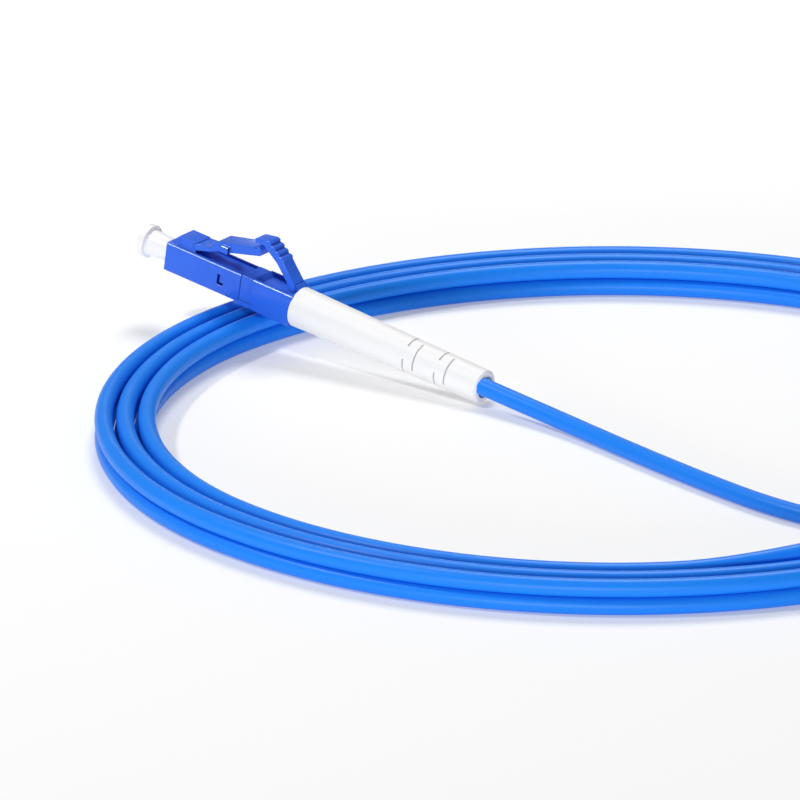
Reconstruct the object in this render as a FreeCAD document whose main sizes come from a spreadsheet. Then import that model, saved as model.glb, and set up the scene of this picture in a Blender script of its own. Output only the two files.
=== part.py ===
"""Armoured fibre patch cord: a coiled cable with a small latched plug and dust cap on each end.

Units are millimetres. The cord lies on the floor at z = 0 with its origin at the middle of the
coil. Each plug is modelled in a frame of its own and then placed: x runs along the plug from its
front face towards the cable, y across it, and z towards its latch.
"""
import FreeCAD, Part
import math
import os
import re

import Sketcher

Vector = FreeCAD.Vector

SIZES = {
    # Cable and coil. The coil is a slight oval: its half length is its half width and the stretch,
    # and the arcs at its ends are tighter than its half width.
    "cable_diameter": 2.6,
    "lane_pitch": 3.08,
    "cable_sides": 10,
    "lanes": 3,
    "layers": 2,
    "coil_half_width": 64.1,
    "coil_stretch": 5.53,
    "coil_end_tightening": 4.1,
    "coil_chamfer": 0.9,
    # Front housing.
    "plug_side": 4.5,
    "housing_length": 13.6,
    "seam_gap": 0.12,
    "housing_chamfer": 0.25,
    "mouth_diameter": 3.6,
    "mouth_depth": 4.4,
    "seat_web": 0.8,
    "neck_clearance": 0.1,
    "cavity_side": 3.1,
    "channel_width": 3.5,
    "channel_depth": 0.35,
    "window_start": 9.5,
    "window_length": 1.1,
    "window_height": 1.6,
    "window_gap": 0.4,
    # Latch: heights are above the housing's flat top.
    "latch_width": 3.3,
    "latch_root_start": 1.4,
    "latch_root_rise": 1.45,
    "latch_pivot_x": 4.8,
    "latch_pivot_rise": 0.85,
    "latch_knuckle": 0.5,
    "latch_neck_x": 7.1,
    "latch_neck_top": 1.5,
    "latch_neck_thickness": 0.6,
    "latch_hump_x": 8.3,
    "latch_hump_top": 3.05,
    "latch_hump_thickness": 1.6,
    "latch_thickness": 0.95,
    "latch_end_x": 16.1,
    "latch_end_top": 4.6,
    "latch_lip_length": 0.7,
    "latch_lip_height": 0.4,
    "lug_x": 9.1,
    "lug_length": 1.6,
    "lug_height": 1.1,
    # Rear body and its trigger.
    "rear_start_x": 15.9,
    "rear_end_x": 23.0,
    "rear_width": 5.0,
    "rear_top": 2.4,
    "rear_bottom": 2.6,
    "rear_chamfer": 0.35,
    "shank_side": 4.4,
    "rib_height": 0.5,
    "rib_reach": 0.18,
    "insert_start_x": 9.0,
    "insert_clearance": 0.05,
    "spring_seat_x": 12.0,
    "spring_bore": 2.6,
    "buffer_bore": 1.1,
    "pocket_length": 4.6,
    "pocket_width": 4.0,
    "pocket_depth": 0.7,
    "notch_depth": 0.45,
    "notch_width": 2.6,
    "trigger_width": 2.4,
    "trigger_pivot_x": 21.9,
    "trigger_pivot_rise": 0.75,
    "trigger_knuckle": 0.6,
    "trigger_root_rise": 1.1,
    "trigger_bend_x": 19.9,
    "trigger_bend_z": 6.2,
    "trigger_peak_x": 16.6,
    "trigger_peak_z": 8.45,
    "trigger_tip_x": 14.5,
    "trigger_tip_z": 8.05,
    "trigger_thickness": 1.1,
    "trigger_tip_thickness": 0.6,
    "ridge_count": 4,
    "ridge_height": 0.3,
    "hinge_clearance": 0.06,
    # Ferrule, its flange and the spring behind it.
    "ferrule_diameter": 1.25,
    "ferrule_reach": 2.0,
    "ferrule_chamfer": 0.15,
    "ferrule_grip": 2.0,
    "press_clearance": 0.01,
    "flange_neck": 2.1,
    "flange_neck_length": 1.8,
    "flange_flats": 2.6,
    "flange_length": 1.4,
    "flange_tube": 1.5,
    "flange_tube_end_x": 11.0,
    "flange_seat_gap": 0.05,
    "buffer_socket": 1.0,
    "buffer_socket_x": 6.9,
    "spring_wire": 0.3,
    "spring_mean_radius": 1.05,
    "spring_turns": 6,
    "spring_steps": 10,
    "spring_gap": 0.05,
    # Cable end: stem, crimp sleeve, buffered fibre and boot.
    "stem_diameter": 2.6,
    "stem_end_x": 29.6,
    "crimp_start_x": 23.6,
    "crimp_end_x": 32.8,
    "crimp_flats": 3.3,
    "crimp_clearance": 0.05,
    "buffer_diameter": 0.9,
    "buffer_start_x": 7.8,
    "boot_end_x": 56.5,
    "boot_front_diameter": 6.0,
    "boot_waist_x": 43.0,
    "boot_waist_diameter": 5.3,
    "boot_end_diameter": 5.0,
    "boot_rim": 0.3,
    "boot_sides": 30,
    "boot_bore": 3.3,
    "boot_crimp_clearance": 0.1,
    "slit_width": 0.26,
    "slit_top_angle": 136.0,
    "slit_side_angle": 106.0,
    "slit_turn": 30.0,
    "slit_pair_x": 43.5,
    "slit_step": 1.8,
    "slit_pair_step": 5.62,
    # Dust cap.
    "cap_sleeve_diameter": 3.4,
    "cap_sleeve_end_diameter": 3.9,
    "cap_sides": 30,
    "cap_inner_x": 2.4,
    "cap_grip_length": 4.1,
    "cap_flange_diameter": 5.0,
    "cap_flange_length": 1.1,
    "cap_bore": 1.35,
    "cap_tip_clearance": 0.6,
    # Where the plugs lie: the front face, heading and tilt of each, and the gap that they rest with.
    "rest_gap": 0.05,
    "plug_a_x": -63.27,
    "plug_a_y": 49.03,
    "plug_a_yaw": -36.8,
    "plug_a_tilt": 8.6,
    "plug_b_x": 67.7,
    "plug_b_y": 47.3,
    "plug_b_yaw": -92.0,
    # How far past its boot each tail runs straight.
    "tail_a_straight": 7.2,
    "tail_b_straight": 13.0,
}

doc = FreeCAD.newDocument("PatchCord")
sheet = doc.addObject("Spreadsheet::Sheet", "Sizes")
for row, (alias, number) in enumerate(SIZES.items(), start=1):
    sheet.set(f"A{row}", alias)
    sheet.set(f"B{row}", str(number))
    sheet.setAlias(f"B{row}", alias)
doc.recompute()


def size(expression):
    """Value of an expression in the sheet's aliases, written as in a cell."""
    return float(sheet.evalExpression(expression))


def bound(expression):
    """The same expression with each alias named through the sheet, for setExpression."""
    return re.sub(r"[a-z_]+", lambda word: f"Sizes.{word[0]}" if word[0] in SIZES else word[0], expression)


def origin_plane(body, role):
    """One of a body's own origin planes."""
    return next(feature for feature in body.Origin.OriginFeatures if feature.Role == role)


def new_sketch(body, role, name):
    """An empty sketch on one of the body's origin planes."""
    sketch = body.newObject("Sketcher::SketchObject", name)
    sketch.AttachmentSupport = (origin_plane(body, role), [""])
    sketch.MapMode = "FlatFace"
    return sketch


def pin_point(sketch, geometry, end, corner, place):
    """Dimensions one sketch point from the origin with two expressions."""
    for kind, expression, value in zip(("DistanceX", "DistanceY"), corner, place):
        number = sketch.addConstraint(Sketcher.Constraint(kind, geometry, end, value))
        sketch.setExpression(f"Constraints[{number}]", bound(expression))


def polygon(body, role, name, corners):
    """A closed outline of straight edges whose corners are pairs of expressions."""
    sketch = new_sketch(body, role, name)
    places = [(size(across), size(up)) for across, up in corners]
    count = len(places)
    for index, place in enumerate(places):
        following = places[(index + 1) % count]
        sketch.addGeometry(Part.LineSegment(Vector(*place, 0), Vector(*following, 0)), False)
    for index in range(count):
        sketch.addConstraint(Sketcher.Constraint("Coincident", index, 2, (index + 1) % count, 1))
    for index, (corner, place) in enumerate(zip(corners, places)):
        pin_point(sketch, index, 1, corner, place)
    return sketch


def rectangle(body, role, name, left, right, low, high):
    """A rectangular outline given by the expressions of its four sides."""
    return polygon(body, role, name, [(left, low), (right, low), (right, high), (left, high)])


def circle(body, role, name, centre, radius):
    """A circle with its centre and radius given by expressions."""
    sketch = new_sketch(body, role, name)
    place = (size(centre[0]), size(centre[1]))
    sketch.addGeometry(Part.Circle(Vector(*place, 0), Vector(0, 0, 1), size(radius)), False)
    pin_point(sketch, 0, 3, centre, place)
    number = sketch.addConstraint(Sketcher.Constraint("Radius", 0, size(radius)))
    sketch.setExpression(f"Constraints[{number}]", bound(radius))
    return sketch


def extrude(body, kind, sketch, length):
    """A pad or pocket of the given length, half to each side of the sketch."""
    feature = body.newObject(f"PartDesign::{kind}", f"{sketch.Name}_{kind.lower()}")
    feature.Profile = sketch
    feature.SideType = "Symmetric"
    feature.setExpression("Length", bound(length))
    doc.recompute()
    return feature


def revolve(body, kind, sketch, angle="360"):
    """A revolution or groove of a sketch about the plug's own axis."""
    feature = body.newObject(f"PartDesign::{kind}", f"{sketch.Name}_{kind.lower()}")
    feature.Profile = sketch
    feature.ReferenceAxis = (sketch, ["H_Axis"])
    feature.Midplane = True
    feature.setExpression("Angle", bound(angle))
    doc.recompute()
    return feature


def cut_bore(body, name, start, end, diameter):
    """A round hole along the plug's axis between two places."""
    sketch = rectangle(body, "XZ_Plane", name, start, end, "0", f"({diameter}) / 2")
    return revolve(body, "Groove", sketch)


def chamfer_edges(body, base, wanted, width):
    """Chamfers the base feature's edges that the test picks out."""
    edges = [f"Edge{n}" for n, edge in enumerate(base.Shape.Edges, start=1) if wanted(edge)]
    feature = body.newObject("PartDesign::Chamfer", f"{base.Name}_chamfer")
    feature.Base = (base, edges)
    feature.setExpression("Size", bound(width))
    doc.recompute()
    return feature


def long_edge(edge, length):
    """True of a straight edge along the plug of at least the given length."""
    box = edge.BoundBox
    return box.XLength > length and box.YLength < 1e-6 and box.ZLength < 1e-6


def new_body(label):
    """An empty body for one sub-part."""
    body = doc.addObject("PartDesign::Body", label)
    body.Label = label
    return body


LATCH_TOP = "(plug_side / 2)"
LATCH_PIVOT_Z = f"({LATCH_TOP} + latch_pivot_rise)"
TRIGGER_PIVOT_Z = "(rear_top + trigger_pivot_rise)"
WEB_BACK = "(mouth_depth + seat_web)"
COLLAR_FRONT = f"({WEB_BACK} + flange_seat_gap)"
COLLAR_BACK = f"({COLLAR_FRONT} + flange_length)"
FERRULE_BACK = f"({COLLAR_FRONT} - flange_neck_length + ferrule_grip)"


def six_sided_pad(body, name, start, length, flats):
    """A six-sided bar along the plug's axis, given its width across flats."""
    corner = f"(({flats}) / sqrt(3))"
    section = polygon(body, "YZ_Plane", name, [
        (f"{corner} * cos({60 * side} deg)", f"{corner} * sin({60 * side} deg)") for side in range(6)])
    section.setExpression("AttachmentOffset.Base.z", bound(start))
    pad = body.newObject("PartDesign::Pad", f"{name}_pad")
    pad.Profile = section
    pad.setExpression("Length", bound(length))
    doc.recompute()
    return pad


def make_front_housing(label):
    """Square nose of the plug: mouth, inner seat, rear cavity, side windows and the latch's root."""
    body = new_body(label)
    half = "plug_side / 2"
    block = extrude(body, "Pad", rectangle(body, "XZ_Plane", f"{label}_side", "0", "housing_length",
                                           f"-{half}", half), "plug_side")
    chamfer_edges(body, block, lambda edge: long_edge(edge, 1), "housing_chamfer")
    root_top = f"{LATCH_TOP} + latch_root_rise"
    root = polygon(body, "XZ_Plane", f"{label}_root", [
        ("latch_root_start", f"{LATCH_TOP} - channel_depth"),
        ("latch_pivot_x", f"{LATCH_TOP} - channel_depth"),
        ("latch_pivot_x", root_top),
        ("latch_root_start + latch_root_rise / 5", root_top),
        ("latch_root_start", f"{LATCH_TOP} + latch_root_rise * 4 / 5")])
    extrude(body, "Pad", root, "latch_width")
    cut_bore(body, f"{label}_mouth", "0", "mouth_depth", "mouth_diameter")
    cut_bore(body, f"{label}_neck", "mouth_depth", WEB_BACK, "flange_neck + 2 * neck_clearance")
    cavity = rectangle(body, "XZ_Plane", f"{label}_cavity", WEB_BACK, "housing_length",
                       "-cavity_side / 2", "cavity_side / 2")
    extrude(body, "Pocket", cavity, "cavity_side")
    channel = rectangle(body, "XZ_Plane", f"{label}_channel", "latch_pivot_x", "housing_length",
                        f"{LATCH_TOP} - channel_depth", f"{LATCH_TOP} + latch_root_rise")
    extrude(body, "Pocket", channel, "channel_width")
    socket = circle(body, "XZ_Plane", f"{label}_socket", ("latch_pivot_x", LATCH_PIVOT_Z),
                    "latch_knuckle + hinge_clearance")
    extrude(body, "Pocket", socket, "latch_width")
    window = rectangle(body, "XZ_Plane", f"{label}_window", "window_start",
                       "window_start + window_length", "-window_height / 2", "window_height / 2")
    extrude(body, "Pocket", window, "plug_side")
    return body


def make_latch(label):
    """Springy arm on the housing: thin neck, hump with side lugs, and an upturned lip at its end."""
    body = new_body(label)
    end_under = f"{LATCH_TOP} + latch_end_top - latch_thickness"
    arm = polygon(body, "XZ_Plane", f"{label}_arm", [
        ("latch_pivot_x", f"{LATCH_PIVOT_Z} + latch_knuckle"),
        ("latch_pivot_x", f"{LATCH_PIVOT_Z} - latch_knuckle"),
        ("latch_neck_x", f"{LATCH_TOP} + latch_neck_top - latch_neck_thickness"),
        ("latch_hump_x", f"{LATCH_TOP} + latch_hump_top - latch_hump_thickness"),
        ("latch_end_x", end_under),
        ("latch_end_x", f"{LATCH_TOP} + latch_end_top"),
        ("latch_end_x - latch_lip_length / 3", f"{LATCH_TOP} + latch_end_top + latch_lip_height"),
        ("latch_end_x - latch_lip_length", f"{LATCH_TOP} + latch_end_top + latch_lip_height"),
        ("latch_end_x - latch_lip_length - latch_lip_height / 2", f"{LATCH_TOP} + latch_end_top"),
        ("latch_hump_x", f"{LATCH_TOP} + latch_hump_top"),
        ("latch_neck_x", f"{LATCH_TOP} + latch_neck_top")])
    extrude(body, "Pad", arm, "latch_width")
    knuckle = circle(body, "XZ_Plane", f"{label}_knuckle", ("latch_pivot_x", LATCH_PIVOT_Z),
                     "latch_knuckle")
    extrude(body, "Pad", knuckle, "latch_width")
    lug_top = f"{LATCH_TOP} + latch_hump_top"
    lug = polygon(body, "XZ_Plane", f"{label}_lug", [
        ("lug_x + lug_length / 4", f"{lug_top} - lug_height"),
        ("lug_x + lug_length", f"{lug_top} - lug_height"),
        ("lug_x + lug_length", lug_top),
        ("lug_x + lug_length / 4", lug_top),
        ("lug_x", f"{lug_top} - lug_height / 2")])
    extrude(body, "Pad", lug, "plug_side")
    return body


def make_rear_body(label):
    """Rear half of the plug: insert and tabs, shank, main block, trigger seat and crimp stem."""
    body = new_body(label)
    main = extrude(body, "Pad", rectangle(body, "XZ_Plane", f"{label}_side", "rear_start_x",
                                          "rear_end_x", "-rear_bottom", "rear_top"), "rear_width")
    chamfer_edges(body, main, lambda edge: long_edge(edge, 1), "rear_chamfer")
    shank = rectangle(body, "XZ_Plane", f"{label}_shank", "housing_length + seam_gap", "rear_start_x",
                      "-shank_side / 2", "shank_side / 2")
    extrude(body, "Pad", shank, "shank_side")
    rib = rectangle(body, "XZ_Plane", f"{label}_rib", "housing_length + seam_gap", "rear_start_x",
                    "-shank_side / 2 - rib_reach", "-shank_side / 2 + rib_height")
    extrude(body, "Pad", rib, "shank_side + 2 * rib_reach")
    insert_half = "(cavity_side / 2 - insert_clearance)"
    insert = rectangle(body, "XZ_Plane", f"{label}_insert", "insert_start_x", "housing_length + seam_gap",
                       f"-{insert_half}", insert_half)
    extrude(body, "Pad", insert, f"2 * {insert_half}")
    stem = rectangle(body, "XZ_Plane", f"{label}_stem", "rear_end_x", "stem_end_x", "0",
                     "stem_diameter / 2")
    revolve(body, "Revolution", stem)
    tab = rectangle(body, "XZ_Plane", f"{label}_tab", "window_start + window_gap",
                    "window_start + window_length - insert_clearance",
                    "-window_height / 2 + window_gap", "window_height / 2 - insert_clearance")
    extrude(body, "Pad", tab, "plug_side - housing_chamfer")
    seat = polygon(body, "XZ_Plane", f"{label}_trigger_seat", [
        ("trigger_pivot_x", "rear_top - pocket_depth"), ("rear_end_x", "rear_top - pocket_depth"),
        ("rear_end_x", "rear_top + trigger_root_rise / 2"),
        ("rear_end_x - trigger_root_rise / 3", "rear_top + trigger_root_rise"),
        ("trigger_pivot_x", "rear_top + trigger_root_rise")])
    extrude(body, "Pad", seat, "trigger_width")
    cut_bore(body, f"{label}_spring_bore", "insert_start_x", "spring_seat_x", "spring_bore")
    cut_bore(body, f"{label}_buffer_bore", "spring_seat_x", "stem_end_x", "buffer_bore")
    pocket = polygon(body, "XZ_Plane", f"{label}_pocket", [
        ("rear_start_x", "rear_top"), ("rear_start_x + pocket_depth", "rear_top - pocket_depth"),
        ("rear_start_x + pocket_length", "rear_top - pocket_depth"),
        ("rear_start_x + pocket_length + pocket_depth", "rear_top")])
    extrude(body, "Pocket", pocket, "pocket_width")
    socket = circle(body, "XZ_Plane", f"{label}_socket", ("trigger_pivot_x", TRIGGER_PIVOT_Z),
                    "trigger_knuckle + hinge_clearance")
    extrude(body, "Pocket", socket, "trigger_width")
    notch = rectangle(body, "XZ_Plane", f"{label}_notch", "housing_length + notch_depth / 2",
                      "rear_start_x", "-shank_side / 2 - rib_reach", "-shank_side / 2 + notch_depth")
    extrude(body, "Pocket", notch, "notch_width")
    return body


def ridge_corners():
    """Waves of the thumb grip from the trigger's peak down to its bend, as expression pairs."""
    run_x = "((trigger_bend_x - trigger_peak_x) / ridge_count)"
    run_z = "((trigger_bend_z - trigger_peak_z) / ridge_count)"
    corners = []
    for step in range(SIZES["ridge_count"]):
        for share, lift in ((0.35, 1), (0.7, 1), (1, 0)):
            along_x = f"trigger_peak_x + {run_x} * {step + share}"
            along_z = f"trigger_peak_z + {run_z} * {step + share}"
            lift_x = f"ridge_height * {lift * 0.6}"
            lift_z = f"ridge_height * {lift * 0.8}"
            corners.append((f"{along_x} + {lift_x}", f"{along_z} + {lift_z}"))
    return corners


def make_trigger(label):
    """Thumb lever over the latch's end, with stepped ridges and a rounded root."""
    body = new_body(label)
    reach = "trigger_knuckle * 0.7071"
    under = "trigger_thickness"
    lever = polygon(body, "XZ_Plane", f"{label}_lever", [
        ("trigger_tip_x", "trigger_tip_z - trigger_tip_thickness"),
        ("trigger_peak_x - trigger_thickness / 3", "trigger_tip_z - trigger_tip_thickness"),
        (f"trigger_bend_x - {under}", f"trigger_bend_z - {under} / 2"),
        (f"trigger_pivot_x - {reach}", f"{TRIGGER_PIVOT_Z} - {reach} / 2"),
        ("trigger_pivot_x", TRIGGER_PIVOT_Z),
        (f"trigger_pivot_x + {reach}", f"{TRIGGER_PIVOT_Z} + {reach}"),
        *reversed(ridge_corners()),
        ("trigger_peak_x", "trigger_peak_z"),
        ("trigger_tip_x + trigger_tip_thickness", "trigger_tip_z + trigger_tip_thickness / 4"),
        ("trigger_tip_x", "trigger_tip_z")])
    extrude(body, "Pad", lever, "trigger_width")
    knuckle = circle(body, "XZ_Plane", f"{label}_knuckle", ("trigger_pivot_x", TRIGGER_PIVOT_Z),
                     "trigger_knuckle")
    extrude(body, "Pad", knuckle, "trigger_width")
    return body


def make_ferrule(label):
    """Ceramic pin that carries the fibre, with its bevelled tip."""
    body = new_body(label)
    radius = "ferrule_diameter / 2"
    pin = polygon(body, "XZ_Plane", f"{label}_pin", [
        ("-ferrule_reach", "0"), (FERRULE_BACK, "0"), (FERRULE_BACK, radius),
        ("-ferrule_reach + ferrule_chamfer", radius),
        ("-ferrule_reach", f"{radius} - ferrule_chamfer")])
    revolve(body, "Revolution", pin)
    return body


def make_ferrule_flange(label):
    """Metal holder of the ferrule: neck, six-sided collar and rear tube."""
    body = new_body(label)
    neck_start = f"{COLLAR_FRONT} - flange_neck_length"
    turned = polygon(body, "XZ_Plane", f"{label}_turned", [
        (neck_start, "0"), ("flange_tube_end_x", "0"), ("flange_tube_end_x", "flange_tube / 2"),
        (COLLAR_FRONT, "flange_tube / 2"), (COLLAR_FRONT, "flange_neck / 2"),
        (neck_start, "flange_neck / 2")])
    revolve(body, "Revolution", turned)
    six_sided_pad(body, f"{label}_collar", COLLAR_FRONT, "flange_length", "flange_flats")
    cut_bore(body, f"{label}_socket", neck_start, FERRULE_BACK, "ferrule_diameter + 2 * press_clearance")
    cut_bore(body, f"{label}_tube", "buffer_socket_x", "flange_tube_end_x", "buffer_socket")
    return body


def make_spring(label):
    """Coil spring between the flange's collar and the seat in the rear body."""
    start = size(f"{COLLAR_BACK} + spring_gap + spring_wire / 2")
    end = size("spring_seat_x - spring_gap - spring_wire / 2")
    radius = size("spring_mean_radius")
    steps = SIZES["spring_steps"]
    count = SIZES["spring_turns"] * steps
    nodes = []
    for step in range(count + 1):
        angle = 2 * math.pi * step / steps
        along = start + (end - start) * step / count
        nodes.append(Vector(along, radius * math.cos(angle), radius * math.sin(angle)))
    path = doc.addObject("Part::Polygon", f"{label}_path")
    path.Nodes = nodes
    wire = doc.addObject("Part::RegularPolygon", f"{label}_wire")
    wire.Polygon = 4
    wire.setExpression("Circumradius", bound("spring_wire / 2"))
    wire.Placement = FreeCAD.Placement(nodes[0], FreeCAD.Rotation(Vector(0, 0, 1), nodes[1] - nodes[0]))
    sweep = doc.addObject("Part::Sweep", label)
    sweep.Label = label
    sweep.Sections = [wire]
    sweep.Spine = (path, [])
    sweep.Solid = True
    sweep.Transition = "Right corner"
    doc.recompute()
    return sweep


def make_crimp_sleeve(label):
    """Metal sleeve pressed six-sided round the cable's end on the stem."""
    body = new_body(label)
    six_sided_pad(body, f"{label}_wall", "crimp_start_x", "crimp_end_x - crimp_start_x", "crimp_flats")
    cut_bore(body, f"{label}_bore", "crimp_start_x", "crimp_end_x", "stem_diameter + 2 * crimp_clearance")
    return body


def make_fibre_buffer(label):
    """Buffered fibre from the ferrule's flange to the cable's end."""
    body = new_body(label)
    core = rectangle(body, "XZ_Plane", f"{label}_core", "buffer_start_x", "stem_end_x", "0",
                     "buffer_diameter / 2")
    revolve(body, "Revolution", core)
    return body


def axial_cylinder(name, start, length, radius, angle="360", turn=0):
    """A cylinder along the plug's axis, or a slice of one that starts at the given turn."""
    cylinder = doc.addObject("Part::Cylinder", name)
    cylinder.setExpression("Radius", bound(radius))
    cylinder.setExpression("Height", bound(length))
    cylinder.setExpression("Angle", bound(angle))
    lengthwise = FreeCAD.Rotation(Vector(0, 1, 0), 90)
    cylinder.Placement.Rotation = FreeCAD.Rotation(Vector(1, 0, 0), turn).multiply(lengthwise)
    cylinder.setExpression("Placement.Base.x", bound(start))
    return cylinder


def lofted_rings(name, sides, stations):
    """A straight-sided loft through rings along the plug's axis, each a place and a radius."""
    sections = []
    for index, (station, radius) in enumerate(stations):
        ring = doc.addObject("Part::RegularPolygon", f"{name}_section_{index}")
        ring.setExpression("Polygon", bound(sides))
        ring.setExpression("Circumradius", bound(radius))
        ring.Placement.Rotation = FreeCAD.Rotation(Vector(0, 1, 0), 90)
        ring.setExpression("Placement.Base.x", bound(station))
        sections.append(ring)
    loft = doc.addObject("Part::Loft", name)
    loft.Sections = sections
    loft.Solid = True
    loft.Ruled = True
    return loft


def fused(name, shapes):
    """One solid of several."""
    union = doc.addObject("Part::MultiFuse", name)
    union.Shapes = shapes
    return union


def cut_from(label, base, tool):
    """The base without the tool, as a finished sub-part."""
    cut = doc.addObject("Part::Cut", label)
    cut.Label = label
    cut.Base = base
    cut.Tool = tool
    doc.recompute()
    return cut


def make_boot(label):
    """Tapered strain relief with two pairs of staggered slit rings near its end."""
    outside = lofted_rings(f"{label}_outside", "boot_sides", [
        ("rear_end_x", "boot_front_diameter / 2"),
        ("boot_waist_x", "boot_waist_diameter / 2"),
        ("boot_end_x - boot_rim", "boot_end_diameter / 2"),
        ("boot_end_x", "boot_end_diameter / 2 - boot_rim")])
    crimp_room = "(crimp_flats / sqrt(3) + boot_crimp_clearance)"
    room_length = "(crimp_end_x + boot_crimp_clearance - rear_end_x)"
    hollows = [
        axial_cylinder(f"{label}_crimp_room", "rear_end_x", room_length, crimp_room),
        axial_cylinder(f"{label}_bore", "rear_end_x", "boot_end_x - rear_end_x", "boot_bore / 2"),
    ]
    for ring in range(4):
        front = f"slit_pair_x + slit_step * {ring % 2} + slit_pair_step * {ring // 2} - slit_width / 2"
        angle = ("slit_top_angle", "slit_side_angle")[ring % 2]
        for side in range(2):
            turn = 90 * (ring % 2) + 180 * side - size(f"slit_turn + {angle} / 2")
            hollows.append(axial_cylinder(f"{label}_slit_{ring}_{side}", front, "slit_width",
                                          "boot_front_diameter / 2", angle, turn))
    return cut_from(label, outside, fused(f"{label}_hollow", hollows))


def make_dust_cap(label):
    """Push-on cap over the ferrule, with a sleeve that widens to a flange to pull it by."""
    sleeve = lofted_rings(f"{label}_sleeve", "cap_sides", [
        ("-cap_grip_length", "cap_sleeve_end_diameter / 2"),
        ("0", "cap_sleeve_diameter / 2"),
        ("cap_inner_x", "cap_sleeve_diameter / 2")])
    flange = lofted_rings(f"{label}_flange", "cap_sides", [
        ("-cap_grip_length - cap_flange_length", "cap_flange_diameter / 2"),
        ("-cap_grip_length", "cap_flange_diameter / 2")])
    bore_end = "(-ferrule_reach - cap_tip_clearance)"
    bore = axial_cylinder(f"{label}_bore", bore_end, f"cap_inner_x - {bore_end}", "cap_bore / 2")
    return cut_from(label, fused(f"{label}_solid", [flange, sleeve]), bore)


PLUG_PARTS = {
    "dust_cap": make_dust_cap,
    "ferrule": make_ferrule,
    "ferrule_flange": make_ferrule_flange,
    "spring": make_spring,
    "front_housing": make_front_housing,
    "latch": make_latch,
    "rear_body": make_rear_body,
    "trigger": make_trigger,
    "crimp_sleeve": make_crimp_sleeve,
    "fibre_buffer": make_fibre_buffer,
    "boot": make_boot,
}

COIL_HEIGHT = "(cable_diameter * layers)"


def plug_placements():
    """Place of each plug: A leans over the coil with its boot on the floor, B lies flat on the coil."""
    tilt = math.radians(size("plug_a_tilt"))
    boot_rest = size("boot_end_diameter / 2") * math.cos(tilt) + size("rest_gap")
    height_a = boot_rest + size("boot_end_x") * math.sin(tilt)
    height_b = size(f"{COIL_HEIGHT} + rest_gap + boot_front_diameter / 2")
    turn_a = FreeCAD.Rotation(size("plug_a_yaw"), size("plug_a_tilt"), 0)
    turn_b = FreeCAD.Rotation(size("plug_b_yaw"), 0, 0)
    return {
        "a": FreeCAD.Placement(Vector(size("plug_a_x"), size("plug_a_y"), height_a), turn_a),
        "b": FreeCAD.Placement(Vector(size("plug_b_x"), size("plug_b_y"), height_b), turn_b),
    }


def coil_spine():
    """Middle line of the coil's section: an oval of four tangent arcs."""
    half_width = size("coil_half_width")
    half_length = size("coil_half_width + coil_stretch")
    end_radius = size("coil_half_width - coil_end_tightening")
    end_centre = half_length - end_radius
    side_radius = (end_centre**2 + half_width**2 - end_radius**2) / (2 * (half_width - end_radius))
    side_centre = side_radius - half_width
    join = math.atan2(side_centre, end_centre)
    middle = size(COIL_HEIGHT) / 2
    arcs = [
        (Vector(end_centre, 0, middle), end_radius, -join, join),
        (Vector(0, -side_centre, middle), side_radius, join, math.pi - join),
        (Vector(-end_centre, 0, middle), end_radius, math.pi - join, math.pi + join),
        (Vector(0, side_centre, middle), side_radius, math.pi + join, 2 * math.pi - join),
    ]
    edges = []
    for centre, radius, start, end in arcs:
        edges.append(Part.Arc(Part.Circle(centre, Vector(0, 0, 1), radius), start, end).toShape())
    return Part.Wire(edges)


def make_coil(label):
    """The wound turns as one plain ring: a bevelled section along the oval."""
    spine = coil_spine()
    half_width = size("(lane_pitch * (lanes - 1) + cable_diameter) / 2")
    half_height = size(COIL_HEIGHT) / 2
    bevel = size("coil_chamfer")
    start = spine.Edges[0].firstVertex().Point
    along = spine.Edges[0].tangentAt(spine.Edges[0].FirstParameter)
    across = along.cross(Vector(0, 0, 1))
    outer_side = [
        (half_width, -half_height), (half_width, half_height - bevel), (half_width - bevel, half_height)]
    outline = outer_side + [(-width, height) for width, height in reversed(outer_side)]
    corners = [start + across * width + Vector(0, 0, height) for width, height in outline]
    section = Part.makePolygon(corners + corners[:1])
    coil = doc.addObject("Part::Feature", label)
    coil.Label = label
    coil.Shape = spine.makePipeShell([section], True, False)
    expected = Part.Face(section).Area * spine.Length
    print(f"{label}: volume {coil.Shape.Volume:.1f}, section times length {expected:.1f}")
    return coil


def rounded_route(label, points):
    """Straight runs joined by tangent arcs, each as large as its two runs allow."""
    edges = []
    reached = points[0]
    for before, corner, after in zip(points, points[1:], points[2:]):
        back = before - corner
        onward = after - corner
        half_turn = (math.pi - back.getAngle(onward)) / 2
        setback = 0.45 * min(back.Length, onward.Length)
        print(f"{label}: arc radius {setback / math.tan(half_turn):.1f}")
        back.normalize()
        onward.normalize()
        first = corner + back * setback
        last = corner + onward * setback
        inward = (back + onward).normalize()
        centre = corner + inward * (setback / math.sin(half_turn))
        middle = centre - inward * (setback / math.tan(half_turn))
        edges.append(Part.LineSegment(reached, first).toShape())
        edges.append(Part.Arc(first, middle, last).toShape())
        reached = last
    edges.append(Part.LineSegment(reached, points[-1]).toShape())
    return Part.Wire(edges)


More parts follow.
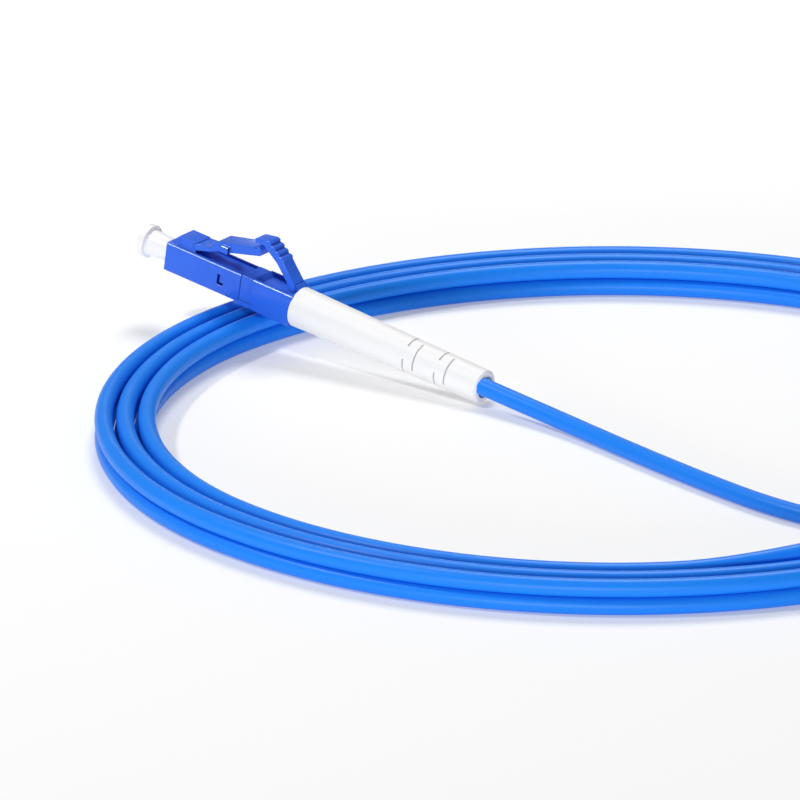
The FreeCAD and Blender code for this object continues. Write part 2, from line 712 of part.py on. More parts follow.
def make_tail(label, points):
    """The cable as a plain tube of many flat sides along one route."""
    route = rounded_route(label, points)
    radius = size("cable_diameter / 2")
    sides = SIZES["cable_sides"]
    placement = FreeCAD.Placement(points[0], FreeCAD.Rotation(Vector(0, 0, 1), points[1] - points[0]))
    corners = []
    for side in range(sides):
        angle = 2 * math.pi * side / sides
        corners.append(placement.multVec(Vector(radius * math.cos(angle), radius * math.sin(angle), 0)))
    profile = Part.makePolygon(corners + corners[:1])
    tail = doc.addObject("Part::Feature", label)
    tail.Label = label
    tail.Shape = route.makePipeShell([profile], True, False)
    expected = Part.Face(profile).Area * route.Length
    print(f"{label}: length {route.Length:.1f}")
    print(f"{label}: volume {tail.Shape.Volume:.1f}, section times length {expected:.1f}")
    return tail


FLOOR = size("cable_diameter / 2")
TOP_LAYER = size(COIL_HEIGHT) - FLOOR

# Past its boot, tail A crosses the floor inside the coil and turns to join its inner turns.
TAIL_A_POINTS = [
    Vector(8.7, -15.5, FLOOR), Vector(25.1, -33.0, FLOOR), Vector(39.0, -38.3, FLOOR),
    Vector(51.3, -31.1, FLOOR), Vector(59.2, -17.5, FLOOR), Vector(63.6, -1.5, FLOOR),
    Vector(61.9, 14.0, FLOOR), Vector(56.9, 28.0, FLOOR),
]
# Past its boot, tail B comes down along the top of the coil into its upper inner turn.
TAIL_B_POINTS = [
    Vector(38.2, -52.6, TOP_LAYER + 2.7), Vector(14.6, -59.5, TOP_LAYER),
]

placements = plug_placements()
sub_parts = []
for plug, placement in placements.items():
    for part_name, make in PLUG_PARTS.items():
        sub_part = make(f"{part_name}_{plug}")
        sub_part.Placement = placement.multiply(sub_part.Placement)
        sub_parts.append(sub_part)

for plug, points in (("a", TAIL_A_POINTS), ("b", TAIL_B_POINTS)):
    along = placements[plug]
    start = along.multVec(Vector(size("stem_end_x"), 0, 0))
    straight = along.multVec(Vector(size(f"boot_end_x + tail_{plug}_straight"), 0, 0))
    sub_parts.append(make_tail(f"cable_tail_{plug}", [start, straight, *points]))
sub_parts.append(make_coil("cable_coil"))

doc.recompute()
for item in doc.Objects:
    if "Invalid" in item.State or "Error" in item.State:
        raise RuntimeError(f"{item.Label} failed: {item.State}")
for sub_part in sub_parts:
    if sub_part.Shape.isNull() or not sub_part.Shape.isValid():
        raise RuntimeError(f"{sub_part.Label} has no valid shape")

os.makedirs("parts", exist_ok=True)
for sub_part in sub_parts:
    sub_part.Shape.exportStep(f"parts/{sub_part.Label}.step")
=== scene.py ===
"""Looks of a wound fibre patch cord: its jacketed cable, moulded plugs, soft boots and dust caps."""
import logging
import math
from dataclasses import dataclass, field
from enum import Enum
from typing import ClassVar

import bmesh
import bpy
from mathutils import Matrix, Vector
from mathutils.bvhtree import BVHTree


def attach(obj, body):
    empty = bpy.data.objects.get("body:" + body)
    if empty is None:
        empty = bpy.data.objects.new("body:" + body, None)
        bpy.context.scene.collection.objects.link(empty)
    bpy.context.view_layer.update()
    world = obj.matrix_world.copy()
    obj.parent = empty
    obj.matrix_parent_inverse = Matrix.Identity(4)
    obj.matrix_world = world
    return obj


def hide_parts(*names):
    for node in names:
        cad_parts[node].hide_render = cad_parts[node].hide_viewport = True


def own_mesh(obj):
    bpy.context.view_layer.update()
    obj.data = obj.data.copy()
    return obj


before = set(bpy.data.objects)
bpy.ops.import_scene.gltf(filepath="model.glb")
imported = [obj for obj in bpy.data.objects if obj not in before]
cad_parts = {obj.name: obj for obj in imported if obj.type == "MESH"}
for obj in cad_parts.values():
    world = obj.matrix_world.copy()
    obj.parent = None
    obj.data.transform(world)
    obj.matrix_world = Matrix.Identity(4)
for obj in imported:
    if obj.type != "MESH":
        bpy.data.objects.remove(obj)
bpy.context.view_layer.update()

LOG = logging.getLogger("patch_cord")
MM = 0.001
Colour = tuple[float, float, float]


class Shade:
    """One value in a finish's node tree; arithmetic on it adds Math nodes."""

    def __init__(self, tree: "FinishTree", socket: bpy.types.NodeSocket) -> None:
        """Wraps one output socket of the given tree."""
        self.tree = tree
        self.socket = socket

    def _with(self, operation: str, first: "Shade | float", second: "Shade | float") -> "Shade":
        """A Math node of two values."""
        return self.tree.add("ShaderNodeMath", {"operation": operation}, {0: first, 1: second})

    def __add__(self, other: "Shade | float") -> "Shade":
        """Sum."""
        return self._with("ADD", self, other)

    def __radd__(self, other: float) -> "Shade":
        """Sum, with the number first."""
        return self._with("ADD", other, self)

    def __sub__(self, other: "Shade | float") -> "Shade":
        """Difference."""
        return self._with("SUBTRACT", self, other)

    def __rsub__(self, other: float) -> "Shade":
        """Difference, with the number first."""
        return self._with("SUBTRACT", other, self)

    def __mul__(self, other: "Shade | float") -> "Shade":
        """Product."""
        return self._with("MULTIPLY", self, other)

    def __rmul__(self, other: float) -> "Shade":
        """Product, with the number first."""
        return self._with("MULTIPLY", other, self)


class FinishTree:
    """A material and its node tree, filled one node at a time."""

    NOISE_MIDDLE: ClassVar[float] = 0.5

    def __init__(self, name: str) -> None:
        """Starts an empty material.

        Args:
            name: the material's name.
        """
        self.material = bpy.data.materials.new(name)
        self.material.use_nodes = True
        self.nodes = self.material.node_tree.nodes
        self.nodes.clear()
        self.links = self.material.node_tree.links

    def add(self, kind: str, settings: dict | None = None, inputs: dict | None = None,
            output: int | str = 0) -> Shade:
        """Adds a node.

        Args:
            kind: the node's type.
            settings: its own properties, set before its sockets.
            inputs: values or Shades for its sockets, by name or number.
            output: which of its outputs is wanted.

        Returns:
            The wanted output.
        """
        node = self.nodes.new(kind)
        for key, value in (settings or {}).items():
            setattr(node, key, value)
        for key, value in (inputs or {}).items():
            if isinstance(value, Shade):
                self.links.new(value.socket, node.inputs[key])
            else:
                node.inputs[key].default_value = value
        return Shade(self, node.outputs[output])

    def noise(self, scale: float, detail: float = 2.0, roughness: float = 0.5) -> Shade:
        """Adds a noise on the piece's own coordinates.

        Args:
            scale: cycles for each metre.
            detail: how many finer layers it has.
            roughness: how strong those layers are.

        Returns:
            The noise, from 0 to 1.
        """
        place = self.add("ShaderNodeTexCoord", output="Object")
        return self.add("ShaderNodeTexNoise", {"noise_dimensions": "3D"},
                        {"Vector": place, "Scale": scale, "Detail": detail, "Roughness": roughness})

    def attribute(self, name: str) -> Shade:
        """A number that the piece's own mesh holds."""
        return self.add("ShaderNodeAttribute", {"attribute_name": name}, output="Fac")

    def around(self, middle: float, noise: Shade, spread: float) -> Shade:
        """A value that a noise moves up and down about its middle."""
        return middle + (noise - self.NOISE_MIDDLE) * spread

    def blend(self, factor: Shade, first: "Shade | Colour", second: Colour) -> Shade:
        """Mixes two colours.

        Args:
            factor: how much of the second, from 0 to 1.
            first: a colour, or one that is mixed already.
            second: the other colour.

        Returns:
            The colour between them.
        """
        start = first if isinstance(first, Shade) else (*first, 1.0)
        colours = {0: factor, 6: start, 7: (*second, 1.0)}
        return self.add("ShaderNodeMix", {"data_type": "RGBA"}, colours, output=2)

    def bump(self, height: Shade, depth: float, strength: float) -> Shade:
        """A normal that follows a height, with its depth in metres."""
        inputs = {"Strength": strength, "Distance": depth, "Height": height}
        return self.add("ShaderNodeBump", None, inputs)

    def finish(self, **surface: "Shade | float | tuple") -> bpy.types.Material:
        """Closes the tree with a principled surface whose sockets are given by name.

        Args:
            surface: socket values, with underscores for the spaces in their names.

        Returns:
            The finished material.
        """
        inputs = {key.replace("_", " "): value for key, value in surface.items()}
        shader = self.add("ShaderNodeBsdfPrincipled", None, inputs)
        self.add_output(shader)
        return self.material

    def add_output(self, shader: Shade) -> None:
        """Links the shader to the material's output."""
        node = self.nodes.new("ShaderNodeOutputMaterial")
        self.links.new(shader.socket, node.inputs["Surface"])


@dataclass(frozen=True)
class PaintedShadeGauge:
    """Feels how closed in each face of a moulding is, with short rays over the half space before it;
    the finish paints this share as shade.
    """

    ATTRIBUTE: ClassVar[str] = "painted_shade_share"

    rays: int = 48
    reach: float = 5.0 * MM
    lift: float = 0.004 * MM

    def directions(self) -> list[Vector]:
        """Spreads the rays about the z axis as light falls on a face.

        Returns:
            Unit vectors with z above 0.
        """
        golden_turn = math.pi * (3 - math.sqrt(5))
        rays = []
        for index in range(self.rays):
            out, angle = math.sqrt((index + 0.5) / self.rays), golden_turn * index
            rays.append(Vector((out * math.cos(angle), out * math.sin(angle), math.sqrt(1 - out**2))))
        return rays

    def mark(self, mesh: bpy.types.Mesh) -> None:
        """Stores each face's share of stopped rays, which the finish paints as shade.

        Args:
            mesh: the finished mesh of one piece.
        """
        mesh.calc_loop_triangles()
        corners = [vertex.co for vertex in mesh.vertices]
        walls = BVHTree.FromPolygons(corners, [triangle.vertices for triangle in mesh.loop_triangles])
        rays = self.directions()
        closed, whole = [0.0] * len(mesh.polygons), [0.0] * len(mesh.polygons)
        for triangle in mesh.loop_triangles:
            start = Vector(triangle.center) + triangle.normal * self.lift
            facing = triangle.normal.to_track_quat("Z", "Y")
            hits = [walls.ray_cast(start, facing @ ray, self.reach)[0] for ray in rays]
            stopped = sum(hit is not None for hit in hits) / self.rays
            closed[triangle.polygon_index] += triangle.area * stopped
            whole[triangle.polygon_index] += triangle.area
        shares = [part / total if total > 0 else 0.0 for part, total in zip(closed, whole)]
        mesh.attributes.new(self.ATTRIBUTE, "FLOAT", "FACE").data.foreach_set("value", shares)


@dataclass(frozen=True)
class MouldedFinish:
    """A moulded plastic: two close colours, a satin surface, a fine mould grain and, if given, painted
    shade in recesses.
    """

    name: str
    colour: Colour
    shade_colour: Colour
    roughness: float
    roughness_spread: float = 0.08
    cloud_scale: float = 320.0
    grain_scale: float = 6500.0
    grain_depth: float = 0.004 * MM
    grain_strength: float = 0.25
    specular: float = 0.4
    subsurface: float = 0.0
    subsurface_depth: float = 0.6 * MM
    painted_shade_colour: Colour | None = None
    painted_shade_start: float = 0.1
    painted_shade_strength: float = 3.4
    recess_dullness: float = 0.8

    def material(self) -> bpy.types.Material:
        """Builds the material.

        Returns:
            The finished material.
        """
        tree = FinishTree(self.name)
        cloud = tree.noise(self.cloud_scale, detail=3.0)
        tone = tree.blend(cloud, self.colour, self.shade_colour)
        grain = tree.noise(self.grain_scale, roughness=0.6)
        roughness = tree.around(self.roughness, grain, self.roughness_spread)
        # painted shade: closed-in faces blend towards a dark colour and turn rougher, by their share of
        # stopped rays
        if self.painted_shade_colour is not None:
            closed = tree.attribute(PaintedShadeGauge.ATTRIBUTE)
            painted_shade = (closed - self.painted_shade_start) * self.painted_shade_strength
            tone = tree.blend(painted_shade, tone, self.painted_shade_colour)
            roughness = roughness + closed * self.recess_dullness
        return tree.finish(
            Base_Color=tone, Roughness=roughness, Specular_IOR_Level=self.specular,
            Subsurface_Weight=self.subsurface, Subsurface_Scale=self.subsurface_depth,
            Normal=tree.bump(grain, self.grain_depth, self.grain_strength))


@dataclass(frozen=True)
class DrawnFinish:
    """An extruded jacket: even colour with faint clouding and a slight waviness of the surface."""

    name: str
    colour: Colour
    shade_colour: Colour
    roughness: float
    roughness_spread: float = 0.08
    specular: float = 0.4
    cloud_scale: float = 90.0
    wave_scale: float = 140.0
    wave_depth: float = 0.02 * MM
    wave_strength: float = 0.3
    grain_scale: float = 5200.0
    grain_share: float = 0.12

    def material(self) -> bpy.types.Material:
        """Builds the material.

        Returns:
            The finished material.
        """
        tree = FinishTree(self.name)
        cloud = tree.noise(self.cloud_scale)
        wave = tree.noise(self.wave_scale)
        grain = tree.noise(self.grain_scale)
        return tree.finish(
            Base_Color=tree.blend(cloud, self.colour, self.shade_colour),
            Roughness=tree.around(self.roughness, grain, self.roughness_spread),
            Specular_IOR_Level=self.specular,
            Normal=tree.bump(wave + grain * self.grain_share, self.wave_depth, self.wave_strength))


@dataclass(frozen=True)
class TurnedFinish:
    """A turned or drawn metal with fine tool marks."""

    name: str
    colour: Colour
    roughness: float
    roughness_spread: float = 0.15
    mark_scale: float = 9000.0
    mark_depth: float = 0.003 * MM
    mark_strength: float = 0.2
    mark_tone: float = 0.8

    def material(self) -> bpy.types.Material:
        """Builds the material.

        Returns:
            The finished material.
        """
        tree = FinishTree(self.name)
        marks = tree.noise(self.mark_scale, detail=3.0)
        dark = tuple(channel * self.mark_tone for channel in self.colour)
        return tree.finish(
            Base_Color=tree.blend(marks, self.colour, dark), Metallic=1.0,
            Roughness=tree.around(self.roughness, marks, self.roughness_spread),
            Normal=tree.bump(marks, self.mark_depth, self.mark_strength))


@dataclass(frozen=True)
class FloorFinish:
    """The pale, even surface that the cord lies on."""

    name: str = "pale_floor"
    colour: Colour = (0.745, 0.745, 0.746)
    glow: float = 0.255
    roughness: float = 0.9
    specular: float = 0.05

    def material(self) -> bpy.types.Material:
        """Builds the material.

        Returns:
            The finished material.
        """
        return FinishTree(self.name).finish(
            Base_Color=(*self.colour, 1.0), Roughness=self.roughness, Specular_IOR_Level=self.specular,
            Emission_Color=(1.0, 1.0, 1.0, 1.0), Emission_Strength=self.glow)


class Finish(Enum):
    """The cord's finishes, by the record's material slots."""

    # the plug's recesses get painted shade, blended towards the last colour given here
    PLUG = MouldedFinish("plug_plastic", (0.030, 0.146, 0.78), (0.026, 0.128, 0.72), 0.2, specular=0.25,
                         painted_shade_colour=(0.002, 0.022, 0.27))
    JACKET = DrawnFinish("cable_jacket", (0.012, 0.232, 0.90), (0.010, 0.214, 0.86), 0.38, specular=0.2)
    BOOT = MouldedFinish("boot_plastic", (0.865, 0.863, 0.862), (0.845, 0.843, 0.845), 0.5,
                         grain_depth=0.006 * MM)
    CAP = MouldedFinish("cap_plastic", (0.87, 0.871, 0.875), (0.85, 0.851, 0.86), 0.38, subsurface=0.15)
    CERAMIC = MouldedFinish("ferrule_ceramic", (0.86, 0.85, 0.81), (0.83, 0.82, 0.78), 0.18,
                            roughness_spread=0.03)
    FLANGE = TurnedFinish("flange_metal", (0.71, 0.69, 0.64), 0.3)
    SPRING = TurnedFinish("spring_steel", (0.58, 0.58, 0.59), 0.28)
    CRIMP = TurnedFinish("crimp_metal", (0.68, 0.64, 0.54), 0.34)
    BUFFER = MouldedFinish("buffer_plastic", (0.82, 0.82, 0.79), (0.79, 0.79, 0.76), 0.45)


class Palette:
    """Makes each finish once and hands it out."""

    def __init__(self) -> None:
        """Starts with nothing made."""
        self.made: dict[Finish, bpy.types.Material] = {}

    def __getitem__(self, finish: Finish) -> bpy.types.Material:
        """Finds the material of one finish, or makes it.

        Args:
            finish: the wanted finish.

        Returns:
            Its material.
        """
        if finish not in self.made:
            self.made[finish] = finish.value.material()
        return self.made[finish]


def link(name: str, data: bpy.types.ID) -> bpy.types.Object:
    """Puts new data in the scene.

    Args:
        name: the object's name.
        data: its mesh, curve, lamp or lens.

    Returns:
        The object, at the origin.
    """
    piece = bpy.data.objects.new(name, data)
    bpy.context.scene.collection.objects.link(piece)
    return piece


def bake(piece: bpy.types.Object) -> None:
    """Turns a piece with modifiers into a plain mesh with none.

    Args:
        piece: the piece, which keeps its name.
    """
    graph = bpy.context.evaluated_depsgraph_get()
    mesh = bpy.data.meshes.new_from_object(piece.evaluated_get(graph))
    mesh.name = piece.name
    piece.modifiers.clear()
    piece.data = mesh


@dataclass(frozen=True)
class LivingHinge:
    """A thin place where a moulded arm bends; the edges round it stay as they are."""

    place: Vector
    axis: Vector
    reach: float = 0.75 * MM

    def holds(self, edge: bmesh.types.BMEdge) -> bool:
        """Whether the whole edge lies by the hinge."""
        return all((end.co - self.place).cross(self.axis).length < self.reach for end in edge.verts)


@dataclass
class SoftenedNode:
    """A copy of one solid, with its edges rounded, or cut flat where segments is 1."""

    MERGE_DISTANCE: ClassVar[float] = 0.001 * MM
    FLAT_DEG: ClassVar[float] = 0.4

    node: str
    body: str
    finish: Finish
    edge: float
    crease_deg: float = 30.0
    segments: int = 3
    hinge: LivingHinge | None = None
    shortest: float = 0.0
    clamped: bool = True

    def merged_mesh(self) -> bpy.types.Mesh:
        """Joins the solid's triangles into whole faces and marks the edges to soften.

        Returns:
            The mesh, with a bevel weight on each such edge.
        """
        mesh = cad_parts[self.node].data.copy()
        mesh.name = f"{self.node}_skin"
        if mesh.has_custom_normals:
            mesh.attributes.remove(mesh.attributes["custom_normal"])
        shape = bmesh.new()
        shape.from_mesh(mesh)
        bmesh.ops.remove_doubles(shape, verts=shape.verts, dist=self.MERGE_DISTANCE)
        bmesh.ops.dissolve_limit(
            shape, angle_limit=math.radians(self.FLAT_DEG), verts=shape.verts, edges=shape.edges)
        weight = shape.edges.layers.float.new("bevel_weight_edge")
        for edge in shape.edges:
            creased = edge.calc_face_angle(0.0) > math.radians(self.crease_deg)
            hinged = self.hinge is not None and self.hinge.holds(edge)
            edge[weight] = float(creased and not hinged and edge.calc_length() >= self.shortest)
        shape.to_mesh(mesh)
        shape.free()
        return mesh

    def build(self, palette: Palette) -> bpy.types.Object:
        """Makes the piece and lets it stand for its solid.

        Args:
            palette: the finishes.

        Returns:
            The finished piece.
        """
        mesh = self.merged_mesh()
        mesh.materials.clear()
        mesh.materials.append(palette[self.finish])
        mesh.shade_smooth()
        mesh.set_sharp_from_angle(angle=math.radians(self.crease_deg))
        piece = link(f"{self.node}_skin", mesh)
        rounding = piece.modifiers.new("rounded_edges", "BEVEL")
        rounding.width = self.edge
        rounding.segments = self.segments
        rounding.limit_method = "WEIGHT"
        rounding.harden_normals = self.segments > 1
        rounding.use_clamp_overlap = self.clamped
        bake(piece)
        if self.segments == 1:
            piece.data.set_sharp_from_angle(angle=math.radians(self.crease_deg))
        # plug faces store their share of stopped rays, which the plug finish paints as shade
        if self.finish is Finish.PLUG:
            PaintedShadeGauge().mark(piece.data)
        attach(piece, self.body)
        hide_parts(self.node)
        LOG.info("%s rounds the edges of %s", piece.name, self.node)
        return piece


class PlugEnd(Enum):
    """The cord's two ends."""

    A = "a"
    B = "b"


@dataclass
class SpringCoil:
    """The round wire of the spring behind a ferrule, in its plug's frame."""

    start: float = 6.7 * MM
    end: float = 11.95 * MM
    wire: float = 0.3 * MM
    mean_radius: float = 1.05 * MM
    turns: float = 6.0
    travel: float = 0.8 * MM
    steps_per_turn: int = 28
    wire_sides: int = 10

    def tree(self, material: bpy.types.Material) -> bpy.types.NodeTree:
        """Geometry nodes that wind a wire round the x axis from named sizes.

        Args:
            material: the wire's finish.

        Returns:
            The node tree, with its inputs in the order turns, radius, wire radius, length.
        """
        tree = bpy.data.node_groups.new("wound_wire", "GeometryNodeTree")
        tree.interface.new_socket("Geometry", in_out="OUTPUT", socket_type="NodeSocketGeometry")
        for name in ("Turns", "Mean Radius", "Wire Radius", "Length"):
            tree.interface.new_socket(name, in_out="INPUT", socket_type="NodeSocketFloat")
        sizes = tree.nodes.new("NodeGroupInput").outputs
        helix = tree.nodes.new("GeometryNodeCurveSpiral")
        helix.inputs["Resolution"].default_value = self.steps_per_turn
        tree.links.new(sizes["Turns"], helix.inputs["Rotations"])
        tree.links.new(sizes["Mean Radius"], helix.inputs["Start Radius"])
        tree.links.new(sizes["Mean Radius"], helix.inputs["End Radius"])
        tree.links.new(sizes["Length"], helix.inputs["Height"])
        section = tree.nodes.new("GeometryNodeCurvePrimitiveCircle")
        section.inputs["Resolution"].default_value = self.wire_sides
        tree.links.new(sizes["Wire Radius"], section.inputs["Radius"])
        tube = tree.nodes.new("GeometryNodeCurveToMesh")
        tube.inputs["Fill Caps"].default_value = True
        tree.links.new(helix.outputs["Curve"], tube.inputs["Curve"])
        tree.links.new(section.outputs["Curve"], tube.inputs["Profile Curve"])
        smooth = tree.nodes.new("GeometryNodeSetShadeSmooth")
        realize = tree.nodes.new("GeometryNodeRealizeInstances")
        coat = tree.nodes.new("GeometryNodeSetMaterial")
        coat.inputs["Material"].default_value = material
        output = tree.nodes.new("NodeGroupOutput")
        last = tube.outputs["Mesh"]
        for node in (smooth, realize, coat):
            tree.links.new(last, node.inputs["Geometry"])
            last = node.outputs["Geometry"]
        tree.links.new(last, output.inputs["Geometry"])
        return tree

    def build(self, end: PlugEnd, placing: Matrix, palette: Palette) -> bpy.types.Object:
        """Makes one plug's spring.

        Args:
            end: which plug.
            placing: the plug's frame.
            palette: the finishes.

        Returns:
            The finished piece.
        """
        name = f"spring_{end.value}"
        tree = self.tree(palette[Finish.SPRING])
        piece = link(f"{name}_wire", bpy.data.meshes.new(f"{name}_wire"))
        winding = piece.modifiers.new("winding", "NODES")
        winding.node_group = tree
        sizes = {"Turns": self.turns, "Mean Radius": self.mean_radius, "Wire Radius": self.wire / 2,
                 "Length": self.end - self.start - self.wire}
        for item in tree.interface.items_tree:
            if item.in_out == "INPUT":
                winding[item.identifier] = sizes[item.name]
        bake(piece)
        lengthwise = Matrix.Rotation(math.pi / 2, 4, "Y")
        offset = Matrix.Translation((self.start + self.wire / 2, 0, 0))
        piece.data.transform(placing @ offset @ lengthwise)
        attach(piece, "cord")
        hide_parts(name)
        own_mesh(piece)
        LOG.info("%s is wound behind its ferrule", piece.name)
        return piece


@dataclass
class LatchedPlug:
    """One end of the cord: moulded plug, its moving parts, boot and dust cap."""

    end: PlugEnd
    front: tuple[float, float, float]
    yaw_deg: float
    tilt_deg: float = 0.0
    stem_end: float = 29.6 * MM
    boot_end: float = 56.5 * MM
    straight: float = 7.2 * MM
    latch_hinge: tuple[float, float] = (4.8 * MM, 3.1 * MM)
    trigger_hinge: tuple[float, float] = (21.9 * MM, 3.15 * MM)
    pieces: list[bpy.types.Object] = field(default_factory=list)

    def placing(self) -> Matrix:
        """Works out the plug's frame: x along it to the cable, z to its latch.

        Returns:
            The frame, with its origin on the plug's front face.
        """
        turn = Matrix.Rotation(math.radians(self.yaw_deg), 4, "Z")
        turn @= Matrix.Rotation(math.radians(self.tilt_deg), 4, "Y")
        return Matrix.Translation(self.front) @ turn

    def along(self, distance: float) -> Vector:
        """A point on the plug's axis, measured from its front face."""
        return self.placing() @ Vector((distance, 0, 0))

    def hinge(self, place: tuple[float, float]) -> LivingHinge:
        """The hinge at a distance along the plug and a height over its axis."""
        placing, (along, up) = self.placing(), place
        return LivingHinge(placing @ Vector((along, 0, up)), placing.to_3x3() @ Vector((0, 1, 0)))

    def build(self, palette: Palette) -> list[bpy.types.Object]:
        """Dresses every solid of this plug.

        Args:
            palette: the finishes.

        Returns:
            The plug's shown pieces.
        """
        mark = self.end.value
        arm, lever = self.hinge(self.latch_hinge), self.hinge(self.trigger_hinge)
        softened = [
            SoftenedNode(f"front_housing_{mark}", "cord", Finish.PLUG, 0.12 * MM,
                         segments=1, hinge=arm, shortest=0.9 * MM),
            SoftenedNode(f"rear_body_{mark}", "cord", Finish.PLUG, 0.1 * MM,
                         segments=1, hinge=lever, shortest=1.6 * MM),
            SoftenedNode(f"latch_{mark}", f"latch_{mark}", Finish.PLUG, 0.1 * MM,
                         segments=1, hinge=arm, shortest=0.6 * MM, clamped=False),
            SoftenedNode(f"trigger_{mark}", f"trigger_{mark}", Finish.PLUG, 0.08 * MM,
                         segments=1, hinge=lever, shortest=0.3 * MM, clamped=False),
            SoftenedNode(f"boot_{mark}", "cord", Finish.BOOT, 0.06 * MM),
            SoftenedNode(f"dust_cap_{mark}", f"dust_cap_{mark}", Finish.CAP, 0.22 * MM),
            SoftenedNode(f"ferrule_{mark}", f"ferrule_{mark}", Finish.CERAMIC, 0.03 * MM,
                         crease_deg=25.0),
            SoftenedNode(f"ferrule_flange_{mark}", f"ferrule_{mark}", Finish.FLANGE, 0.03 * MM),
        ]
        self.pieces = [part.build(palette) for part in softened]
        self.pieces.append(SpringCoil().build(self.end, self.placing(), palette))
        for name, finish in (("crimp_sleeve", Finish.CRIMP), ("fibre_buffer", Finish.BUFFER)):
            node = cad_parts[f"{name}_{mark}"]
            node.data.materials.clear()
            node.data.materials.append(palette[finish])
            self.pieces.append(node)
            LOG.info("%s takes %s", node.name, finish.value.name)
        return self.pieces


@dataclass
class WoundCable:
    """The jacketed cable: out of plug A, across the floor, round the coil and into plug B."""

    diameter: float = 2.6 * MM
    lane_pitch: float = 3.08 * MM
    nesting: float = 0.33 * MM
    half_width: float = 64.1 * MM
    stretch: float = 5.53 * MM
    end_tightening: float = 4.1 * MM
    step_deg: int = 12
    first_deg: int = 42
    last_deg: int = 2070
    outward_steps: tuple[tuple[int, int], ...] = ((18, 58), (352, 378), (712, 738))
    lift_step: tuple[int, int] = (1050, 1074)
    inward_steps: tuple[tuple[int, int], ...] = ((1390, 1414), (1750, 1774))
    measured_lane: int = 2
    outer_lane: int = 3
    curve_steps: int = 8
    side_steps: int = 6
    tail_a: tuple[tuple[float, float], ...] = (
        (8.7, -15.5), (25.1, -33.0), (39.0, -38.3), (51.3, -31.1), (59.2, -17.5), (63.6, -1.5),
        (61.9, 14.0), (56.9, 28.0))
    tail_b: tuple[tuple[float, float, float], ...] = ((38.2, -52.6, 6.6), (14.6, -59.5, 3.9))

    @staticmethod
    def eased(value: float, start: float, end: float) -> float:
        """0 before start, 1 after end, and a smooth rise between."""
        share = min(max((value - start) / (end - start), 0.0), 1.0)
        return share * share * (3 - 2 * share)

    def lane(self, heading: float) -> float:
        """Counts the lanes from the inside.

        Args:
            heading: degrees over all the turns.

        Returns:
            The lane's number, between two while the cable changes lanes.
        """
        outward = sum(self.eased(heading, *step) for step in self.outward_steps)
        inward = sum(self.eased(heading, *step) for step in self.inward_steps)
        return outward - inward

    def layer(self, heading: float) -> float:
        """Layer number, from the floor, at a heading counted over all the turns."""
        return self.eased(heading, *self.lift_step)

    def coil_point(self, heading: float) -> Vector:
        """Places one control point of the coil, a little outside the lane that it makes.

        Args:
            heading: degrees over all the turns.

        Returns:
            The point, in metres.
        """
        end_radius = self.half_width - self.end_tightening
        end_centre = self.stretch + self.end_tightening
        side_radius = (end_centre**2 + self.half_width**2 - end_radius**2) / (2 * self.end_tightening)
        side_centre = side_radius - self.half_width
        angle = math.radians(heading)
        across, up = math.cos(angle), math.sin(angle)
        if abs(across) * side_centre > abs(up) * end_centre:
            centre, radius = Vector((math.copysign(end_centre, across), 0, 0)), end_radius
        else:
            centre, radius = Vector((0, -math.copysign(side_centre, up), 0)), side_radius
        lane, layer = self.lane(heading), self.layer(heading)
        nested = (self.outer_lane - lane) * (1 - layer) * self.nesting * across**2
        radius += (lane - self.measured_lane) * self.lane_pitch + nested
        radius /= math.cos(math.radians(self.step_deg) / 2)
        height = self.diameter * (0.5 + layer)
        return centre + Vector((across * radius, up * radius, height))

    def route(self, plug_a: LatchedPlug, plug_b: LatchedPlug) -> list[Vector]:
        """Control points from inside one boot to inside the other.

        Args:
            plug_a: the plug that the cable starts in.
            plug_b: the plug that it ends in.

        Returns:
            The points, in metres.
        """
        points = [plug_a.along(plug_a.stem_end), plug_a.along(plug_a.boot_end + plug_a.straight)]
        points += [Vector((x * MM, y * MM, self.diameter / 2)) for x, y in self.tail_a]
        headings = range(self.first_deg, self.last_deg + 1, self.step_deg)
        points += [self.coil_point(heading) for heading in headings]
        points += [Vector(point) * MM for point in reversed(self.tail_b)]
        points += [plug_b.along(plug_b.boot_end + plug_b.straight), plug_b.along(plug_b.stem_end)]
        return points

    def build(self, plug_a: LatchedPlug, plug_b: LatchedPlug, palette: Palette) -> bpy.types.Object:
        """Args:
            plug_a: the plug that the cable starts in.
            plug_b: the plug that it ends in.
            palette: the finishes.

        Returns:
            The cable.
        """
        points = self.route(plug_a, plug_b)
        curve = bpy.data.curves.new("cable", "CURVE")
        curve.dimensions = "3D"
        curve.resolution_u = self.curve_steps
        curve.bevel_depth = self.diameter / 2
        curve.bevel_resolution = self.side_steps
        curve.use_fill_caps = True
        spline = curve.splines.new("NURBS")
        spline.points.add(len(points) - 1)
        for control, point in zip(spline.points, points):
            control.co = (*point, 1.0)
        spline.order_u = 3
        spline.use_endpoint_u = True
        spline.use_smooth = True
        curve.materials.append(palette[Finish.JACKET])
        cable = link("cable", curve)
        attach(cable, "cord")
        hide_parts("cable_coil", "cable_tail_a", "cable_tail_b")
        bpy.context.view_layer.update()
        tuple(plug_a.along(plug_a.boot_end))
        return cable


@dataclass(frozen=True)
class SoftLight:
    """A rectangular soft light, with its sizes in metres and its power in watts."""

    name: str
    place: tuple[float, float, float]
    width: float
    height: float
    power: float


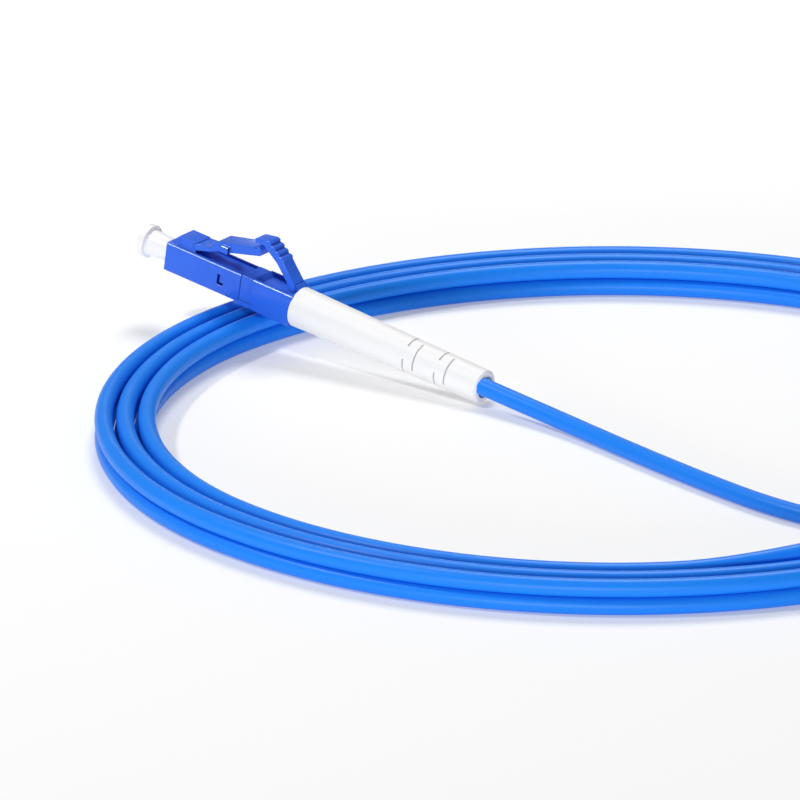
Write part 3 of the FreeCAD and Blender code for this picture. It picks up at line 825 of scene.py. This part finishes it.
@dataclass
class Studio:
    """Pale floor, soft light and the camera."""

    elevation_deg: float = 20.5
    distance: float = 2.2
    lens: float = 698.0
    sensor: float = 36.0
    view_depth: float = 20.0
    target: tuple[float, float, float] = (-0.0307, 0.00211, 0.00565)
    floor_size: float = 4.0
    ambient: float = 0.2
    lights: tuple[SoftLight, ...] = (
        SoftLight("key", (0.05, 0.5, 0.85), 0.35, 0.35, 5.2),
        SoftLight("rim", (0.0, 1.5, 0.22), 0.2, 0.2, 0.4),
        SoftLight("edge", (-0.6, -0.07, 0.8), 0.09, 0.09, 3.4),
        SoftLight("fill", (-0.25, -1.2, 0.14), 0.9, 0.2, 8.3),
    )

    def build(self) -> None:
        """Sets the floor, the lights and the camera."""
        self.lay_floor()
        self.set_world()
        for light in self.lights:
            self.add_light(light)
        self.set_camera()
        LOG.info("studio is set")

    def lay_floor(self) -> None:
        """A large plane at the height that the cord lies on."""
        half = self.floor_size / 2
        mesh = bpy.data.meshes.new("floor")
        mesh.from_pydata([(-half, -half, 0), (half, -half, 0), (half, half, 0), (-half, half, 0)], [],
                         [(0, 1, 2, 3)])
        mesh.materials.append(FloorFinish().material())
        link("floor", mesh)

    def set_world(self) -> None:
        """Even white light from all round."""
        world = bpy.data.worlds.new("soft_box")
        world.use_nodes = True
        background = world.node_tree.nodes["Background"]
        background.inputs["Color"].default_value = (1.0, 1.0, 1.0, 1.0)
        background.inputs["Strength"].default_value = self.ambient
        bpy.context.scene.world = world

    def add_light(self, light: SoftLight) -> None:
        """Hangs a soft light that faces the cord.

        Args:
            light: its place, sizes and power.
        """
        lamp = bpy.data.lights.new(light.name, "AREA")
        lamp.shape = "RECTANGLE"
        lamp.size = light.width
        lamp.size_y = light.height
        lamp.energy = light.power
        holder = link(light.name, lamp)
        holder.location = light.place
        aim = Vector(self.target) - Vector(light.place)
        holder.rotation_euler = aim.to_track_quat("-Z", "Y").to_euler()

    def set_camera(self) -> None:
        """The camera, at the photograph's angle."""
        lens = bpy.data.cameras.new("camera")
        lens.lens = self.lens
        lens.sensor_width = self.sensor
        lens.clip_end = self.view_depth
        camera = link("camera", lens)
        slope = math.radians(self.elevation_deg)
        back = Vector((0, -math.cos(slope), math.sin(slope)))
        camera.location = Vector(self.target) + back * self.distance
        camera.rotation_euler = (-back).to_track_quat("-Z", "Y").to_euler()
        bpy.context.scene.camera = camera


def main() -> None:
    """Builds the cord and its studio."""
    logging.basicConfig(level=logging.INFO, format="%(name)s: %(message)s")
    bpy.context.scene.view_settings.view_transform = "Standard"
    palette = Palette()
    plug_a = LatchedPlug(
        PlugEnd.A, front=(-0.06327, 0.04903, 0.0109706379), yaw_deg=-36.8, tilt_deg=8.6)
    plug_b = LatchedPlug(
        PlugEnd.B, front=(0.0677, 0.0473, 0.00825), yaw_deg=-92.0, straight=13.0 * MM)
    for plug in (plug_a, plug_b):
        plug.build(palette)
    WoundCable().build(plug_a, plug_b, palette)
    Studio().build()


if __name__ == "__main__":
    main()
